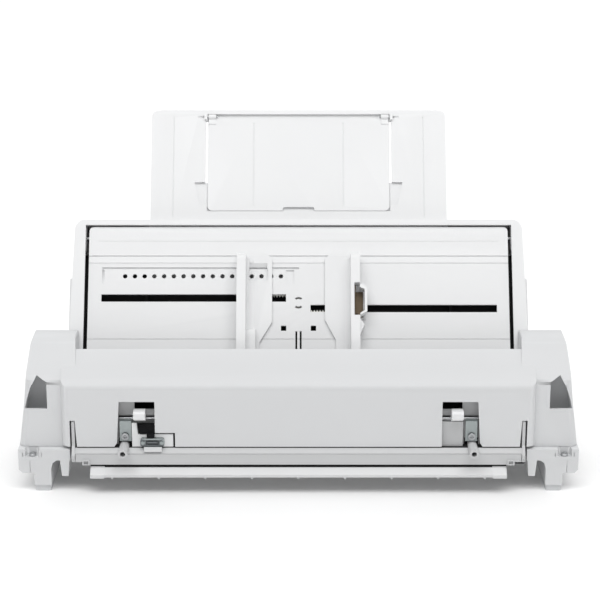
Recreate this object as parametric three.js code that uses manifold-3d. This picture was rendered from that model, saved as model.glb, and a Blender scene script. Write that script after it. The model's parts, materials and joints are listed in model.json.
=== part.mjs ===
// Detachable automatic document sheet feeder for A3-wide paper.
// Millimetres, +Z up, +X to the right of someone facing the front, -Y towards them.
// The feeder stands on its two long feet; the origin is the middle of its footprint, on the floor.
//
// Two working frames are used:
//   chassis frame  Y = 0 is the front face, Z = 0 the floor (the group `chassis`)
//   hopper frame   x along the width, t up the leaning plate, w out of its face (the group `hopper`)

import * as THREE from 'three';
import { mergeVertices } from 'three/addons/utils/BufferGeometryUtils.js';
import Module from 'manifold-3d';

const wasm = await Module();
wasm.setup();

// ---------------------------------------------------------------- driving dimensions

const FOOTPRINT_MIDDLE_Y = 83.05;    // chassis Y of the origin: half way between nose and extension

const GAP = 0.3;                    // between pieces that rest on each other
const WALL = 2.5;                   // moulded wall

// Front cover
const LIP_Z = 94.4;                 // top of the upright front face
const COVER_BOTTOM = 40.5;
const SHOULDER_BOTTOM = 38.3;
const COVER_EDGE = [32, 117.4];     // rear edge of the sloping top, above the paper
const FACE_HALF = 201;              // half width of the front, over its rounded corners
const RETURN_Y = 7;                 // the face outside it is set back this far
const SHOULDER_INNER = 187.5;         // inner wall of the raised shoulders
const SHOULDER_TOP = 126.2;
const SHOULDER_REAR_TOP = 95;
const DEPTH = 112;                  // front face to back wall

// Hopper, leaning back
const LEAN = 30;                    // degrees from upright
const HOPPER_AT = [80, 146.5];      // chassis Y, Z of the hopper frame's origin
const RIM_HALF = 201.5;             // outside of the side rails
const OPENING_HALF = 187;           // inside of the side rails
const RIM_TOP = 72;
const RIM_BOTTOM = -98;
const RIM_FACE = 3;                 // w of the rim's face
const BACK_FACE = -22;              // w of the outside of the back panel

const PLATE_HALF = 184;
const PLATE_TOP = 66;
const PLATE_BOTTOM = -88;
const PLATE_STEP = 1;               // the lower field lies this much below the head
const STEP_T = 40;
const PIVOT_T = 57.5;               // lift pivot of the plate
const PIVOT_W = -8;

// Paper guides and their rack and pinion
const MODULE = 0.8;
const PINION_TEETH = 16;
const PINION_T = -2.2;
const RACK_W = [-6.9, -3.9];        // racks and pinion lie behind the plate
const GUIDE_HEIGHT = 17;
const GUIDE_INNER = [-45.8, 45.4];  // inner faces of the two walls

// Extension tray and its flap
const TRAY_HALF = 131.6;
const TRAY_W = [-14, -10];
const TRAY_TOP = 176.6;
const TRAY_TAIL = 20;
const FLAP_HALF = 81;
const FLAP_T = [83.8, 169.3];
const FLAP_AXIS = [170.9, -9.4];    // t, w

// Feed drive: shaft centres as chassis Y, Z
const FEED_AT = [18.9, 54.4];
const PICK_AT = [21, 89];
const SHAFT_R = 3;
const GEAR_X = [-210.5, -206];
const FEED_TEETH = 21;
const PICK_TEETH = 26;
const FRONT_IDLER_TEETH = 40;
const REAR_IDLER_TEETH = 36;
const MOTOR_TEETH = 14;
const MOTOR_AT = [88, 62];
const REAR_SCREW = [178, 118];      // X and Z of the screws in the back

// Docking features in the front
const CUTOUT_X = [121.7, 151.9];
const CUTOUT_TOP = 80.9;
const SIDE_PLATE_X = [190, 192.6];
const BOSS_AT = [148.1, 40];        // X, Z
const LATCH_X = [141.9, 151.9];
const LATCH_SCREW = [147.3, 48.8];  // X, Z
const LOCK_AT = [6.6, 63.8];        // lock rod, chassis Y, Z
const LOCK_ROD_R = 1.2;
const HOOK_X = [129.6, 139.6];

// Base
const BRACKET_HALF = 238.6;
const BRACKET_INNER = 194.5;
const BRACKET_FRONT = 0;
const BRACKET_TOP = 38;
const BEAM_TOP = 39.3;
const FOOT_X = [211, 225.5];
const CHUTE_HALF = 177;

// ---------------------------------------------------------------- solids

const deg = Math.PI / 180;

function solid(geometry) {
  const bare = geometry.index ? geometry.clone() : geometry;
  bare.deleteAttribute('normal');
  bare.deleteAttribute('uv');
  const merged = mergeVertices(bare, 1e-5);
  const mesh = new wasm.Mesh({
    numProp: 3,
    vertProperties: new Float32Array(merged.attributes.position.array),
    triVerts: new Uint32Array(merged.index.array),
  });
  return new wasm.Manifold(mesh);
}

function toGeometry(body) {
  const mesh = body.getMesh();
  const geometry = new THREE.BufferGeometry();
  const stride = mesh.numProp;
  const points = new Float32Array(mesh.vertProperties.length / stride * 3);
  for (let i = 0; i < points.length / 3; i += 1) {
    for (let k = 0; k < 3; k += 1) {
      points[3 * i + k] = mesh.vertProperties[stride * i + k];
    }
  }
  geometry.setAttribute('position', new THREE.BufferAttribute(points, 3));
  geometry.setIndex(new THREE.BufferAttribute(new Uint32Array(mesh.triVerts), 1));
  return geometry;
}

function box(x0, x1, y0, y1, z0, z1) {
  const geometry = new THREE.BoxGeometry(Math.abs(x1 - x0), Math.abs(y1 - y0), Math.abs(z1 - z0));
  geometry.translate((x0 + x1) / 2, (y0 + y1) / 2, (z0 + z1) / 2);
  return solid(geometry);
}

function shapeOf(points) {
  const shape = new THREE.Shape();
  points.forEach(([a, b], i) => (i ? shape.lineTo(a, b) : shape.moveTo(a, b)));
  shape.closePath();
  return shape;
}

function extrude(shape, length, curveSegments = 4) {
  return new THREE.ExtrudeGeometry(shape, { depth: length, bevelEnabled: false, curveSegments });
}

// An outline in the YZ plane, given as [y, z] points, run along X.
function prismX(outline, x0, x1, curveSegments = 4) {
  const shape = Array.isArray(outline) ? shapeOf(outline) : outline;
  const low = Math.min(x0, x1);
  const geometry = extrude(shape, Math.abs(x1 - x0), curveSegments);
  const turn = new THREE.Matrix4().makeBasis(
    new THREE.Vector3(0, 1, 0), new THREE.Vector3(0, 0, 1), new THREE.Vector3(1, 0, 0));
  geometry.applyMatrix4(turn);
  geometry.translate(low, 0, 0);
  return solid(geometry);
}

// An outline in the XZ plane, given as [x, z] points, run along Y.
function prismY(outline, y0, y1, curveSegments = 4) {
  const shape = Array.isArray(outline) ? shapeOf(outline) : outline;
  const geometry = extrude(shape, y1 - y0, curveSegments);
  geometry.rotateX(Math.PI / 2);
  geometry.translate(0, y1, 0);
  return solid(geometry);
}

// An outline in the XY plane, run along Z.
function prismZ(outline, z0, z1, curveSegments = 4) {
  const shape = Array.isArray(outline) ? shapeOf(outline) : outline;
  const geometry = extrude(shape, z1 - z0, curveSegments);
  geometry.translate(0, 0, z0);
  return solid(geometry);
}

function rodX(x0, x1, y, z, radius, sides = 16) {
  const geometry = new THREE.CylinderGeometry(radius, radius, Math.abs(x1 - x0), sides);
  geometry.rotateZ(Math.PI / 2);
  geometry.translate((x0 + x1) / 2, y, z);
  return solid(geometry);
}

function rodY(y0, y1, x, z, radius, sides = 16) {
  const geometry = new THREE.CylinderGeometry(radius, radius, Math.abs(y1 - y0), sides);
  geometry.translate(x, (y0 + y1) / 2, z);
  return solid(geometry);
}

function rodZ(z0, z1, x, y, radius, sides = 16) {
  const geometry = new THREE.CylinderGeometry(radius, radius, Math.abs(z1 - z0), sides);
  geometry.rotateX(Math.PI / 2);
  geometry.translate(x, y, (z0 + z1) / 2);
  return solid(geometry);
}

function join(first, ...rest) {
  return rest.reduce((sum, part) => sum.add(part), first);
}

function cut(first, ...rest) {
  return rest.reduce((left, tool) => left.subtract(tool), first);
}

// Rounded rectangle as a Shape; each corner has its own radius, from low left counter-clockwise.
function roundedRect(x0, y0, x1, y1, r0, r1 = r0, r2 = r0, r3 = r0) {
  const shape = new THREE.Shape();
  shape.moveTo(x0 + r0, y0);
  shape.lineTo(x1 - r1, y0);
  shape.absarc(x1 - r1, y0 + r1, r1, -Math.PI / 2, 0, false);
  shape.lineTo(x1, y1 - r2);
  shape.absarc(x1 - r2, y1 - r2, r2, 0, Math.PI / 2, false);
  shape.lineTo(x0 + r3, y1);
  shape.absarc(x0 + r3, y1 - r3, r3, Math.PI / 2, Math.PI, false);
  shape.lineTo(x0, y0 + r0);
  shape.absarc(x0 + r0, y0 + r0, r0, Math.PI, 1.5 * Math.PI, false);
  return shape;
}

// ---------------------------------------------------------------- materials

function material(hex, roughness, metalness = 0) {
  return new THREE.MeshStandardMaterial({ color: hex, roughness, metalness });
}

const WHITE = () => material(0xe6e7e8, 0.5);
const PALE = () => material(0xc9cacc, 0.55);
const STEEL = () => material(0x9aa5a6, 0.35, 1);
const BRASS = () => material(0x8a744a, 0.4, 1);
const BLACK = () => material(0x171717, 0.6);
const RUBBER = () => material(0x55585a, 0.9);
const NYLON = () => material(0xd9dad6, 0.45);
const BOARD = () => material(0x2f5a3c, 0.6);

function piece(name, body, look) {
  const mesh = new THREE.Mesh(toGeometry(body), look());
  mesh.name = name;
  return mesh;
}

// ---------------------------------------------------------------- gear teeth

const PITCH = Math.PI * MODULE;
const ADDENDUM = 0.9 * MODULE;
const DEDENDUM = 1.15 * MODULE;
const TIP_HALF = 0.1;               // half widths of a tooth, in pitches
const ROOT_HALF = 0.3;

const pitchRadius = (teeth) => MODULE * teeth / 2;

// A spur gear outline with a tooth centred on the angle `phase` (radians).
function gearShape(teeth, phase) {
  const step = 2 * Math.PI / teeth;
  const tip = pitchRadius(teeth) + ADDENDUM;
  const root = pitchRadius(teeth) - DEDENDUM;
  const points = [];
  for (let i = 0; i < teeth; i += 1) {
    const middle = phase + i * step;
    [[-ROOT_HALF, root], [-TIP_HALF, tip], [TIP_HALF, tip], [ROOT_HALF, root]].forEach(([at, r]) => {
      points.push([r * Math.cos(middle + at * step), r * Math.sin(middle + at * step)]);
    });
  }
  return shapeOf(points);
}

// The phase that puts `gear` in mesh with `other`; `angle` points from other to gear.
function meshedPhase(otherPhase, otherTeeth, teeth, angle) {
  const turnsOnOther = (angle - otherPhase) * otherTeeth / (2 * Math.PI);
  return angle + Math.PI - (0.5 - turnsOnOther) * 2 * Math.PI / teeth;
}

// A rack from x0 to x1 with its pitch line at t; `side` +1 has the teeth pointing up the plate.
function rackShape(x0, x1, t, side, depth) {
  const tip = t + side * ADDENDUM;
  const root = t - side * DEDENDUM;
  const points = [[x0, root]];
  const first = Math.ceil((x0 + PITCH / 2) / PITCH - 0.5);
  const last = Math.floor((x1 - PITCH / 2) / PITCH - 0.5);
  for (let k = first; k <= last; k += 1) {
    const middle = (k + 0.5) * PITCH;
    points.push([middle - ROOT_HALF * PITCH, root], [middle, tip], [middle + ROOT_HALF * PITCH, root]);
  }
  points.push([x1, root], [x1, root - side * depth], [x0, root - side * depth]);
  return shapeOf(points);
}

// ---------------------------------------------------------------- hopper: housing

// Outline of the housing seen square to the plate, `inset` inside its outer edge.
function housingOutline(inset, corner) {
  const bottom = RIM_BOTTOM + inset;
  const top = RIM_TOP - inset;
  const low = RIM_HALF - inset;
  const high = RIM_HALF - 5 - inset;
  const shape = new THREE.Shape();
  shape.moveTo(-low, bottom);
  shape.lineTo(low, bottom);
  shape.lineTo(high, top - corner);
  shape.absarc(high - corner, top - corner, corner, 0, Math.PI / 2, false);
  shape.lineTo(-high + corner, top);
  shape.absarc(-high + corner, top - corner, corner, Math.PI / 2, Math.PI, false);
  return shape;
}

function rearHousing() {
  const outer = prismZ(housingOutline(0, 9), BACK_FACE, RIM_FACE);
  const pocket = prismZ(housingOutline(WALL, 7), BACK_FACE + WALL, RIM_FACE - WALL);
  const opening = box(-OPENING_HALF, OPENING_HALF, RIM_BOTTOM - 5, 67.2, BACK_FACE + WALL, 10);
  const traySlot = box(-TRAY_HALF - 1, TRAY_HALF + 1, 60, RIM_TOP + 5, TRAY_W[0] - 1, -8.8);
  const bearing = (side) => box(side * OPENING_HALF, side * (OPENING_HALF + WALL), 45, 70,
    BACK_FACE + 1, RIM_FACE - 1);
  const pinHole = rodX(-195, 195, PIVOT_T, PIVOT_W, 1.85);
  const floorStrip = box(-OPENING_HALF, OPENING_HALF, RIM_BOTTOM, RIM_BOTTOM + WALL, BACK_FACE, -8);
  let body = join(cut(outer, pocket, opening), bearing(1), bearing(-1), floorStrip);
  // two rails on the back panel keep the extension tray square
  for (const side of [-1, 1]) {
    body = join(body, box(side * (TRAY_HALF + 1), side * (TRAY_HALF + 3.5), -60, 70.5, BACK_FACE + 1, -12));
  }
  return cut(body, pinHole, traySlot);
}

// ---------------------------------------------------------------- hopper: lifting plate

const HOLE_COUNT = 17;
const HOLE_T = 21.6;
const HOLE_FIRST = -151.9;
const HOLE_PITCH = 8.53;
const LEFT_SLOT = [-172.4, -10.9, -1.3, 5.4];
const RIGHT_SLOT = [10.5, 173.3, -10.7, -4];

function arcSlot(middleAngle) {
  const half = 38 * deg;
  const shape = new THREE.Shape();
  shape.absarc(0, 0, 5.2, middleAngle - half, middleAngle + half, false);
  shape.absarc(0, 0, 3.3, middleAngle + half, middleAngle - half, true);
  return prismZ(shape, -4, 1).translate([0, PINION_T, 0]);
}

function hopperPlate() {
  const back = -3.5;
  const field = -PLATE_STEP;
  let body = join(
    prismZ(roundedRect(-PLATE_HALF, STEP_T, PLATE_HALF, PLATE_TOP, 0, 0, 4, 4), back, 0),
    box(-PLATE_HALF, PLATE_HALF, PLATE_BOTTOM, STEP_T + 1, back, field),
    rodZ(-9.2, back + 1, 0, PINION_T, 2.5),
  );
  for (const side of [-1, 1]) {
    const ear = box(side * 180, side * 183.4, 50, 63, -12, back + 1);
    body = join(body, ear);
  }
  for (let i = 0; i < HOLE_COUNT; i += 1) {
    body = cut(body, rodZ(-4, 1, HOLE_FIRST + i * HOLE_PITCH, HOLE_T, 2.05, 12));
  }
  const through = ([x0, x1, t0, t1]) => box(x0, x1, t0, t1, -4, 1);
  body = cut(body, through(LEFT_SLOT), through(RIGHT_SLOT), arcSlot(Math.PI / 2), arcSlot(-Math.PI / 2));
  for (const side of [-1, 1]) {
    body = cut(body, through([side * 13 - 2.3, side * 13 + 2.3, -27.3, -22.7]));
    body = cut(body, through([side * 1.9 - 0.8, side * 1.9 + 0.8, -62, -27.7]));
  }
  // shallow lines pressed in the face
  body = cut(body,
    box(-10.9, -3.9, 14.4, 27, field - 1.2, 1),
    box(-172, 0.5, 27.8, 29.6, field - 1.4, 1),
    box(-172, -170, 15, 29, field - 1.2, 1),
    box(-PLATE_HALF - 1, PLATE_HALF + 1, 33, 33.7, field - 0.5, 1),
    box(-PLATE_HALF - 1, PLATE_HALF + 1, -35.2, -34.4, field - 0.6, 1),
    box(-176, 176, 52.8, 53.2, -0.25, 1),
    rodX(-195, 195, PIVOT_T, PIVOT_W, 1.85));
  return body;
}

function pivotPin(side) {
  return rodX(side * 172.5, side * 189.3, PIVOT_T, PIVOT_W, 1.5);
}

// Torsion spring round the pivot pin: its coil, one leg on the plate and one on the housing.
function liftSpring(side) {
  const coil = cut(
    rodX(side * 173.4, side * 178.6, PIVOT_T, PIVOT_W, 3.7, 18),
    rodX(side * 172, side * 180, PIVOT_T, PIVOT_W, 2.3, 18));
  const leg = box(side * 173.4, side * 174.6, PIVOT_T - 26, PIVOT_T - 2, PIVOT_W - 3.6, PIVOT_W - 2.5);
  const foot = box(side * 177.4, side * 178.6, PIVOT_T - 16, PIVOT_T - 2, PIVOT_W - 3.6, PIVOT_W - 2.5);
  return join(coil, leg, foot);
}

function frictionPad() {
  return box(-14, 14, PLATE_BOTTOM + 3, PLATE_BOTTOM + 18, -PLATE_STEP + GAP, 0.6);
}

// ---------------------------------------------------------------- hopper: guides

const GUIDE_BASE = [-PLATE_STEP + 0.4, 1.6];
const GUIDE_TOP_T = STEP_T - 0.4;
const GUIDE_TAIL_T = -62;

// Side view of a guide wall: a lead-in at the top end, then level to the tail.
function guideWall(x0, x1) {
  const outline = [
    [GUIDE_TAIL_T, GUIDE_BASE[0]], [GUIDE_TOP_T, GUIDE_BASE[0]], [GUIDE_TOP_T, 11],
    [GUIDE_TOP_T - 3.5, GUIDE_HEIGHT - 1], [GUIDE_TOP_T - 7, GUIDE_HEIGHT],
    [GUIDE_TAIL_T + 5, GUIDE_HEIGHT], [GUIDE_TAIL_T, GUIDE_HEIGHT - 6]];
  return prismX(outline, x0, x1);
}

// The wing that lies on the plate under the paper, with its low corner cut off; `side` -1 is left.
function guideWing(side, wallFace, inner, chamferFrom, innerLow) {
  const outline = [
    [wallFace, GUIDE_TAIL_T], [wallFace, GUIDE_TOP_T], [inner + side * 3, GUIDE_TOP_T],
    [inner, GUIDE_TOP_T - 3], [inner, chamferFrom], [innerLow, chamferFrom - 18], [innerLow, GUIDE_TAIL_T]];
  return prismZ(outline, ...GUIDE_BASE);
}

// Hollow corner between a guide's wall and its wing.
function guideFillet(side, wallFace, radius) {
  const shape = new THREE.Shape();
  const [x, w] = [wallFace - side * radius, GUIDE_BASE[1] + radius];
  shape.moveTo(wallFace + side * 0.5, GUIDE_BASE[1] - 0.5);
  shape.lineTo(wallFace + side * 0.5, w);
  shape.lineTo(wallFace, w);
  shape.absarc(x, w, radius, side > 0 ? 0 : Math.PI, -Math.PI / 2, side > 0);
  shape.lineTo(x, GUIDE_BASE[1] - 0.5);
  return prismY(shape, GUIDE_TAIL_T + 6, GUIDE_TOP_T - 3.6, 6);
}

function guideLeft() {
  const wall = guideWall(GUIDE_INNER[0] - 7.9, GUIDE_INNER[0]);
  const wing = guideWing(-1, GUIDE_INNER[0] - 1, -23.1, -20, -34);
  const foot = box(-50, -30, LEFT_SLOT[2] + 0.8, LEFT_SLOT[3] - 0.8, RACK_W[1] + GAP, GUIDE_BASE[0] + 0.5);
  const fillet = guideFillet(-1, GUIDE_INNER[0], 7);
  // thicker tail of the wall, with a rounded top end
  const tailEnd = [[-26.6, 1], [-27.4, 6.4], [-29.4, 8.6], [-33, 9.4]];
  const tail = prismX([[GUIDE_TAIL_T, 1], ...tailEnd, [GUIDE_TAIL_T, 9.4]], GUIDE_INNER[0] - 1, -37.4);
  // opening over the holes of the plate, with a sloping upper side
  const window = prismZ(roundedRect(-43.6, 16.8, -26.6, 29.5, 1, 1, 4, 4), -1, 9);
  const slope = prismX([[26, -0.7], [29.2, -0.7], [33, 1.8], [33, 9], [26, 9]], -43, -27.4);
  // hollow under the wall, open where the racks run
  const core = box(GUIDE_INNER[0] - 6.1, GUIDE_INNER[0] - 1.8, GUIDE_TAIL_T + 2, -4, -3, GUIDE_HEIGHT - 2);
  return cut(join(wall, wing, foot, fillet, tail), window, slope, core);
}

const LEVER_PIVOT = [55, 9.2];      // x, t
const LEVER_W = [3.8, 15.2];

function guideRight() {
  const outer = GUIDE_INNER[1] + 7.9;
  const wall = guideWall(GUIDE_INNER[1], outer);
  const wing = guideWing(1, GUIDE_INNER[1] + 1, 23.1, -18, 32.5);
  const foot = box(30, 49, RIGHT_SLOT[2] + 0.8, RIGHT_SLOT[3] - 0.8, RACK_W[1] + GAP, GUIDE_BASE[0] + 0.5);
  const fillet = guideFillet(1, GUIDE_INNER[1], 5);
  const ledge = box(outer - 1, outer + 4.6, -17.6, 13, GUIDE_BASE[0], GUIDE_BASE[1] + 1);
  const spur = prismZ([[outer - 1, -33.6], [outer + 0.3, -33], [outer + 3.8, -24.6], [outer + 0.3, -19.2],
    [outer - 1, -19.2]], GUIDE_BASE[0], GUIDE_HEIGHT - 4);
  const pocket = box(48.4, outer + 9, -17, 12, GUIDE_BASE[1] + 0.6, GUIDE_HEIGHT + 1);
  const hingePost = rodZ(GUIDE_BASE[1], 3.4, ...LEVER_PIVOT, 1.9);
  return cut(join(cut(join(wall, wing, foot, fillet, ledge, spur), pocket), hingePost),
    rodZ(GUIDE_BASE[1] - 1.4, 5, ...LEVER_PIVOT, 0.9, 10));
}

// Squeeze lever on the right guide: a thumb plate with bent ends, and the knuckle it swings on.
function releaseLever() {
  const outline = [
    [59.5, 7.6], [56.4, 11.2], [54, 11], [54.2, 7.6], [57.3, 6.6],
    [57.3, -12.4], [53.4, -14.9], [53.6, -16.5], [59.5, -13.2]];
  const knuckle = rodZ(...LEVER_W, ...LEVER_PIVOT, 1.8);
  const peg = rodZ(1, LEVER_W[0] + 0.7, ...LEVER_PIVOT, 0.6, 10);
  return join(prismZ(outline, ...LEVER_W), knuckle, peg);
}

// Leaf spring: its foot lies on the floor of the pocket, its blade stands against the wall.
function releaseSpring() {
  const foot = box(49, 56.2, -16.2, 6.4, 2.5, 3);
  const blade = box(49, 49.6, -16.2, 10.4, 2.5, 12.5);
  const bow = prismZ([[49.4, -15.5], [51.2, -14.4], [51.2, -13.6], [49.4, -14.4]], 3, 12.5);
  return join(foot, blade, bow);
}

function rackLeft() {
  const line = PINION_T + pitchRadius(PINION_TEETH);
  return prismZ(rackShape(-52, 127, line, -1, 4.6), ...RACK_W);
}

function rackRight() {
  const line = PINION_T - pitchRadius(PINION_TEETH);
  return prismZ(rackShape(-127, 52, line, 1, 4.6), ...RACK_W);
}

function guidePinion() {
  const wheel = prismZ(gearShape(PINION_TEETH, Math.PI / 2), ...RACK_W);
  const groove = cut(rodZ(RACK_W[0] + 0.9, 0, 0, 0, 5.1, 24), rodZ(-10, 0, 0, 0, 3.3));
  return cut(wheel, groove, rodZ(-10, 0, 0, 0, 2.8)).translate([0, PINION_T, 0]);
}

function pinionClip() {
  const ring = cut(rodZ(-8.6, RACK_W[0] - GAP, 0, PINION_T, 4.6, 20), rodZ(-9, -5, 0, PINION_T, 2.8));
  return cut(ring, box(-0.9, 0.9, PINION_T - 6, PINION_T, -9, -5));
}

// ---------------------------------------------------------------- hopper: extension

function extensionTray() {
  const [under, face] = TRAY_W;
  let body = join(
    prismZ(roundedRect(-TRAY_HALF, TRAY_TAIL, TRAY_HALF, TRAY_TOP, 3, 3, 5, 5), under, face),
    prismZ(roundedRect(-TRAY_HALF + 4, TRAY_TOP - 5.5, TRAY_HALF - 4, TRAY_TOP + 0.8, 1, 1, 5, 5),
      under - 2.5, face));
  // bed of the flap, and a finger scoop on each side of it
  body = cut(body, box(-FLAP_HALF - 0.5, FLAP_HALF + 0.5, FLAP_T[0] - 0.5, FLAP_AXIS[0] + 2.8, -12.6, 0));
  for (const side of [-1, 1]) {
    const scoop = [[side * 80, 89], [side * 88, 89], [side * 92.6, 110], [side * 80, 110]];
    body = cut(body, prismZ(scoop, -12.2, 0));
    body = cut(body, box(side * 81, side * 83.2, 110, FLAP_AXIS[0] - 3.6, -16, 0));
    body = cut(body, box(side * 111.1, side * 111.9, 78, TRAY_TOP - 6, face - 0.5, 0));
    const [earFrom, earTo] = [FLAP_AXIS[0] - 2.8, FLAP_AXIS[0] + 2.5];
    body = join(body, box(side * 81.9, side * 84.4, earFrom, earTo, under + 1, FLAP_AXIS[1] + 2));
  }
  return cut(body, rodX(-90, 90, ...FLAP_AXIS, 1.3, 12));
}

function extensionFlap() {
  const half = FLAP_HALF - 0.3;
  let body = prismZ(roundedRect(-half, FLAP_T[0], half, FLAP_T[1], 4, 4, 1, 1), -12.3, -10.2);
  body = cut(body, prismZ(roundedRect(-14, FLAP_T[0] - 6, 14, FLAP_T[0] + 3.4, 2), -13, -9));
  for (const x of [-40, 40]) {
    body = cut(body, box(x - 0.5, x + 0.5, FLAP_T[0] + 4, FLAP_T[1] - 4, -10.7, -9));
  }
  for (const side of [-1, 1]) {
    const arm = box(side * 74, side * 80.6, FLAP_T[1] - 5, FLAP_AXIS[0], -12.3, FLAP_AXIS[1]);
    const knuckle = rodX(side * 74, side * 80.6, ...FLAP_AXIS, 2.1);
    body = join(body, arm, knuckle);
  }
  return cut(body, rodX(-90, 90, ...FLAP_AXIS, 1.3, 12));
}

function flapPin(side) {
  return rodX(side * 72.5, side * 84.2, ...FLAP_AXIS, 1, 12);
}

// ---------------------------------------------------------------- chassis: covers

// Outline of the middle of the front cover from the side: upright face, rounded lip, sloping top.
function coverProfile() {
  const slope = (COVER_EDGE[1] - LIP_Z) / COVER_EDGE[0];
  const shape = new THREE.Shape();
  shape.moveTo(0, COVER_BOTTOM);
  shape.lineTo(0, LIP_Z - 3.5);
  shape.quadraticCurveTo(0, LIP_Z, 3, LIP_Z + 3 * slope);
  shape.lineTo(...COVER_EDGE);
  shape.lineTo(COVER_EDGE[0] + 1.6, COVER_EDGE[1] - 1.8);
  shape.lineTo(COVER_EDGE[0] + 1.6, COVER_BOTTOM);
  return shape;
}

// The same, one wall further in and open to the rear and below.
function coverInside() {
  const slope = (COVER_EDGE[1] - LIP_Z) / COVER_EDGE[0];
  const drop = WALL * Math.hypot(1, slope);
  const rear = COVER_EDGE[0] + 5;
  return [[WALL, 20], [WALL, LIP_Z + WALL * slope - drop], [rear, LIP_Z + rear * slope - drop], [rear, 20]];
}

// Side view of a shoulder, `inset` inside its surface: upright front, long slope, crest, falling back.
function shoulderProfile(inset) {
  const front = RETURN_Y + inset;
  const top = SHOULDER_TOP - inset;
  const back = DEPTH - inset;
  const rearTop = SHOULDER_REAR_TOP - inset;
  const drop = 1.35 * inset;
  const bottom = inset ? 20 : SHOULDER_BOTTOM;
  const shape = new THREE.Shape();
  shape.moveTo(front, bottom);
  shape.lineTo(front, 93.5 - inset / 2);
  shape.quadraticCurveTo(front, 96.6 - inset, front + 1.8, 98.2 - inset);
  shape.quadraticCurveTo(20.5, 111.3 - drop, 34, 121.6 - drop);
  shape.quadraticCurveTo(39.6, top, 49, top);
  shape.quadraticCurveTo(60, top, 68, top - 3.6);
  shape.lineTo(back - 8, rearTop + 3.4);
  shape.quadraticCurveTo(back, rearTop, back, rearTop - 8);
  shape.lineTo(back, bottom);
  return shape;
}

// Outer side of a shoulder seen from the front: half width and height.
const SIDE_LINE = [[BRACKET_HALF - 0.3, SHOULDER_BOTTOM], [233.6, 74], [230.2, 108], [229, 125]];
const SIDE_ROUND = 5.5;             // rounding between a shoulder's front and its outer side

// Front view of a shoulder: it leans in towards its rounded top.
function shoulderSection(side, inset) {
  const inner = side * (SHOULDER_INNER + inset);
  const x = (value) => side * (value - inset);
  const top = SHOULDER_TOP - inset;
  const bottom = inset ? 20 : SHOULDER_BOTTOM;
  const shape = new THREE.Shape();
  shape.moveTo(inner, bottom);
  shape.lineTo(x(SIDE_LINE[0][0]), bottom);
  SIDE_LINE.slice(1, -1).forEach(([half, z]) => shape.lineTo(x(half), z));
  shape.lineTo(x(SIDE_LINE.at(-1)[0]), top - 5);
  shape.quadraticCurveTo(x(228.4), top, x(223.5), top);
  shape.lineTo(inner + side * 6.5, top);
  shape.quadraticCurveTo(inner + side * 4, top, inner + side * 3.4, top - 3);
  shape.lineTo(inner, top - 38);
  return shape;
}

const GRIP_FLOOR = 72.2;
const GRIP_BACK = 30;
const GRIP_FALL = 10;               // how much the floor of the pocket drops towards its back
const GRIP_X = [213.2, 232.4];
const COVER_CURVES = 8;             // straight pieces in each curve of the cover

// Finger pocket in the corner of a shoulder, with a floor that falls inwards, enlarged by `grow`.
function gripPocket(side, grow) {
  const floor = GRIP_FLOOR - grow;
  const back = GRIP_BACK + grow;
  const inner = GRIP_X[0] - grow;
  const outer = GRIP_X[1] + grow;
  const mouth = [
    [inner, floor], [outer, floor], [230.6 + grow, 80], [227 + grow, 91], [221.6 + grow / 2, 101 + grow],
    [inner, 96 + grow]];
  const edge = RETURN_Y + 2;
  const fall = [[edge, floor], [back, floor - GRIP_FALL], [back, floor + 1], [edge, floor + 1]];
  return join(
    prismY(mouth.map(([x, z]) => [side * x, z]), -5, back),
    prismX(fall, side * inner, side * outer));
}

function shoulder(side, inset) {
  const [inner, outer] = [side * (SHOULDER_INNER - 2), side * (BRACKET_HALF + 4)];
  const body = prismX(shoulderProfile(inset), inner, outer, COVER_CURVES)
    .intersect(prismY(shoulderSection(side, inset), -5, DEPTH + 5, COVER_CURVES));
  return inset ? body : cut(body, ...cornerCutters(side));
}

// What is taken off the upright front edge of a shoulder to round it, one piece per stretch of its side.
function cornerCutters(side) {
  return [0, 1].map((i) => {
    const [[low, z0], [high, z1]] = [SIDE_LINE[i], SIDE_LINE[i + 1]];
    const shape = new THREE.Shape();
    shape.moveTo(side * 4, RETURN_Y - 4);
    shape.lineTo(side * 4, RETURN_Y + SIDE_ROUND);
    shape.lineTo(0, RETURN_Y + SIDE_ROUND);
    const start = side > 0 ? 0 : Math.PI;
    shape.absarc(-side * SIDE_ROUND, RETURN_Y + SIDE_ROUND, SIDE_ROUND, start, -Math.PI / 2, side > 0);
    shape.lineTo(-side * SIDE_ROUND, RETURN_Y - 4);
    const [from, to] = [z0 - (i ? 0 : 5), z1];
    const lean = side * (high - low) / (z1 - z0);
    const geometry = extrude(shape, to - from, COVER_CURVES);
    geometry.applyMatrix4(new THREE.Matrix4().makeShear(0, 0, 0, 0, lean, 0));
    geometry.translate(side * low + lean * (from - z0), 0, from);
    return solid(geometry);
  });
}

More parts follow.
